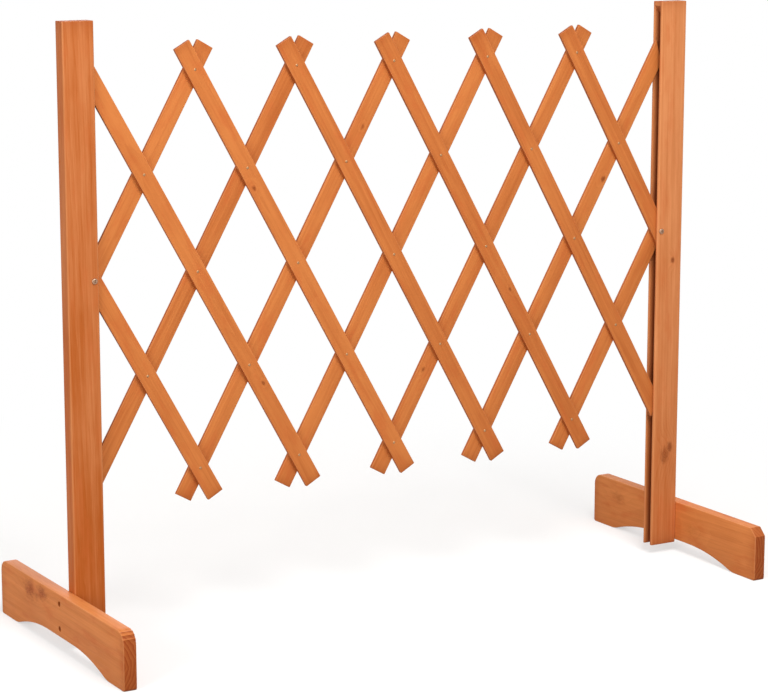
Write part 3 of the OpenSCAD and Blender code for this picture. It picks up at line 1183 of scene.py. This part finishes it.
def finish_named(name):
    """Material of the given name, made when it is first asked for."""
    made = bpy.data.materials.get(name)
    if made is not None:
        return made
    finish = bpy.context.scene.trellis_finish
    if name == "stained_fir_posts":
        return stained_fir(
            name, finish.post_early, finish.post_late, finish.knot, post_knots(),
            ring_mm=5.0, knot_blur=0.5, contrast=0.75, mottle=0.35,
        )
    if name == "stained_fir_feet":
        return stained_fir(
            name, finish.foot_early, finish.foot_late, finish.foot_knot, foot_knots(),
            ring_mm=5.5, knot_blur=0.9, contrast=0.75, mottle=0.6,
        )
    if name == "stained_fir_slats":
        return stained_fir(
            name, finish.slat_early, finish.slat_late, finish.knot, slat_knots(),
            ring_mm=4.5, knot_blur=0.5, contrast=0.8, mottle=0.5,
        )
    if name == "zinc_plated_steel_screws":
        return plated_steel(name, finish.screw_zinc, roughness=0.38, grit_mm=1.2)
    if name == "bright_steel_nails":
        return plated_steel(name, finish.nail_steel, roughness=0.4, grit_mm=1.0)
    raise ValueError("no finish is named " + name)


# Operators


class TRELLIS_OT_posts(bpy.types.Operator):
    """Build the two grooved posts"""

    bl_idname = "trellis.posts"
    bl_label = "Posts"

    def execute(self, context):
        sizes = context.scene.trellis_stand
        for side in SIDES:
            name = side + "_post"
            piece = show_piece(
                name + "_fir", post_form(side, sizes), post_space(side), finish_named("stained_fir_posts"),
                name, side + "_frame", lay=post_lay(side), tone=POST_TONES[side], run=POST_LOW_SHADE,
            )
            low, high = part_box(name)
            # The groove gets painted shade, darker the deeper it is.
            paint_groove_shade(piece.data, high.x - low.x, sizes)
        return {"FINISHED"}


class TRELLIS_OT_feet(bpy.types.Operator):
    """Build the two arched feet"""

    bl_idname = "trellis.feet"
    bl_label = "Feet"

    def execute(self, context):
        sizes = context.scene.trellis_stand
        for side in SIDES:
            name = side + "_foot"
            show_piece(
                name + "_fir", foot_form(side, sizes), foot_space(side), finish_named("stained_fir_feet"),
                name, side + "_frame", lay=foot_lay(side), tone=board_tone(name, *FOOT_TONES),
            )
        return {"FINISHED"}


class TRELLIS_OT_slats(bpy.types.Operator):
    """Build the front and the back layer of slats"""

    bl_idname = "trellis.slats"
    bl_label = "Slats"

    def execute(self, context):
        sizes = context.scene.trellis_lattice
        for layer in LAYERS:
            for number in SLAT_NUMBERS:
                name = f"{layer}_slat_{number}"
                show_piece(
                    name + "_fir", slat_form(layer, number, sizes), slat_space(layer, number),
                    finish_named("stained_fir_slats"), name, name,
                    lay=slat_lay(layer, number), tone=board_tone(name, *SLAT_TONES), sawn=SLAT_SAWN,
                )
        return {"FINISHED"}


class TRELLIS_OT_nails(bpy.types.Operator):
    """Drive a nail through each crossing of the slats"""

    bl_idname = "trellis.nails"
    bl_label = "Nails"

    def execute(self, context):
        sizes = context.scene.trellis_lattice
        for number in SLAT_NUMBERS:
            node = f"front_slat_{number}_nails"
            low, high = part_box(node)
            under_head = low.y + sizes.nail_head_height
            depth = high.y - sizes.nail_tail_height - under_head
            chance = Random(node)
            nails = []
            for column, row in slat_pivots("front", number):
                if in_post(column):
                    continue
                pivot = pivot_place(column, row)
                place = driven((pivot.x, under_head, pivot.z), 90, "X", chance.uniform(0, 2 * math.pi))
                nails.append(nail_form(sizes, depth, place, chance))
            show_piece(
                f"front_slat_{number}_bright_nails", join(nails), Matrix.Identity(4),
                finish_named("bright_steel_nails"), node, f"front_slat_{number}",
            )
        return {"FINISHED"}


class TRELLIS_OT_post_screws(bpy.types.Operator):
    """Drive the pivot screw into each post"""

    bl_idname = "trellis.post_screws"
    bl_label = "Post screws"

    def execute(self, context):
        sizes = context.scene.trellis_stand
        head, height, shank = sizes.post_screw_head, sizes.post_screw_head_height, sizes.post_screw_shank
        for side in SIDES:
            node = side + "_post_screw"
            low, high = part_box(node)
            middle = (low + high) / 2
            under_head = low.y + height
            place = driven((middle.x, under_head, middle.z), 90, "X", Random(node).uniform(0, math.pi))
            form = screw_form(head, height, shank, high.y - under_head, place)
            show_piece(
                node + "_zinc", form, Matrix.Identity(4), finish_named("zinc_plated_steel_screws"), node,
                side + "_frame",
            )
        return {"FINISHED"}


class TRELLIS_OT_foot_screws(bpy.types.Operator):
    """Drive the two screws of each foot into its post"""

    bl_idname = "trellis.foot_screws"
    bl_label = "Foot screws"

    def execute(self, context):
        sizes = context.scene.trellis_stand
        head, height, shank = sizes.foot_screw_head, sizes.foot_screw_head_height, sizes.foot_screw_shank
        for side in SIDES:
            node = side + "_foot_screws"
            low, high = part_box(node)
            middle = (low + high) / 2
            length = high.x - low.x - height
            under_head = low.x + height if side == "left" else high.x - height
            chance = Random(node)
            screws = []
            for z in foot_screw_heights(side, sizes):
                place = driven((under_head, middle.y, z), 90 * SIDES[side], "Y", chance.uniform(0, math.pi))
                screws.append(screw_form(head, height, shank, length, place))
            show_piece(
                node + "_zinc", join(screws), Matrix.Identity(4), finish_named("zinc_plated_steel_screws"),
                node, side + "_frame",
            )
        return {"FINISHED"}


class TRELLIS_OT_stage(bpy.types.Operator):
    """Set up the floor, the light and the camera"""

    bl_idname = "trellis.stage"
    bl_label = "Stage"

    def execute(self, context):
        scene = context.scene
        stage = scene.trellis_stage
        scene.view_settings.view_transform = "Standard"

        disc = bmesh.new()
        bmesh.ops.create_circle(disc, cap_ends=True, radius=stage.floor_radius, segments=FLOOR_STEPS)
        floor = put_in_scene("floor", mesh_from("floor", disc))
        floor.location.z = CAD_BOX[0].z - FLOOR_GAP
        floor.data.materials.append(studio_paper("matt_studio_paper", stage.floor_colour, stage.floor_bounce))

        light_room(scene, stage.ambient)
        aim = Vector((0, 0, CAD_BOX[1].z * AIM_HEIGHT))
        for name in LAMPS:
            lamp = bpy.data.lights.new(name, "AREA")
            lamp.shape = "SQUARE"
            lamp.size = getattr(stage, name + "_size")
            lamp.energy = getattr(stage, name + "_power")
            holder = put_in_scene(name, lamp)
            holder.location = getattr(stage, name + "_place")
            holder.rotation_euler = (aim - holder.location).to_track_quat("-Z", "Y").to_euler()

        film = bpy.data.cameras.new("camera")
        film.sensor_width = FILM_WIDTH
        film.lens = stage.lens
        film.clip_end = SIGHT
        camera = put_in_scene("camera", film)
        camera.location = stage.camera_place
        camera.rotation_euler = (math.pi / 2 - stage.camera_dip, 0, -stage.camera_turn)
        scene.camera = camera
        return {"FINISHED"}


class TRELLIS_PT_panel(bpy.types.Panel):
    """Sidebar panel with the steps and their values"""

    bl_idname = "TRELLIS_PT_panel"
    bl_label = "Folding trellis fence"
    bl_space_type = "VIEW_3D"
    bl_region_type = "UI"
    bl_category = "Trellis"

    def draw(self, context):
        for operator in OPERATORS:
            self.layout.operator(operator.bl_idname)
        for group_name, group in GROUPS:
            box = self.layout.box()
            values = getattr(context.scene, group_name)
            for name in group.__annotations__:
                box.prop(values, name)


OPERATORS = (
    TRELLIS_OT_posts, TRELLIS_OT_feet, TRELLIS_OT_slats, TRELLIS_OT_nails, TRELLIS_OT_post_screws,
    TRELLIS_OT_foot_screws, TRELLIS_OT_stage,
)
GROUPS = (
    ("trellis_lattice", TrellisLattice), ("trellis_stand", TrellisStand), ("trellis_finish", TrellisFinish),
    ("trellis_stage", TrellisStage),
)


def register():
    """Register the classes, and give the scene their values."""
    for name, group in GROUPS:
        bpy.utils.register_class(group)
        setattr(bpy.types.Scene, name, bpy.props.PointerProperty(type=group))
    for operator in OPERATORS:
        bpy.utils.register_class(operator)
    bpy.utils.register_class(TRELLIS_PT_panel)


def unregister():
    """Take back what register gave."""
    bpy.utils.unregister_class(TRELLIS_PT_panel)
    for operator in reversed(OPERATORS):
        bpy.utils.unregister_class(operator)
    for name, group in reversed(GROUPS):
        delattr(bpy.types.Scene, name)
        bpy.utils.unregister_class(group)


def main():
    """Build the fence and its stage."""
    register()
    bpy.ops.trellis.posts()
    bpy.ops.trellis.feet()
    bpy.ops.trellis.slats()
    bpy.ops.trellis.nails()
    bpy.ops.trellis.post_screws()
    bpy.ops.trellis.foot_screws()
    bpy.ops.trellis.stage()


if __name__ == "__main__":
    main()
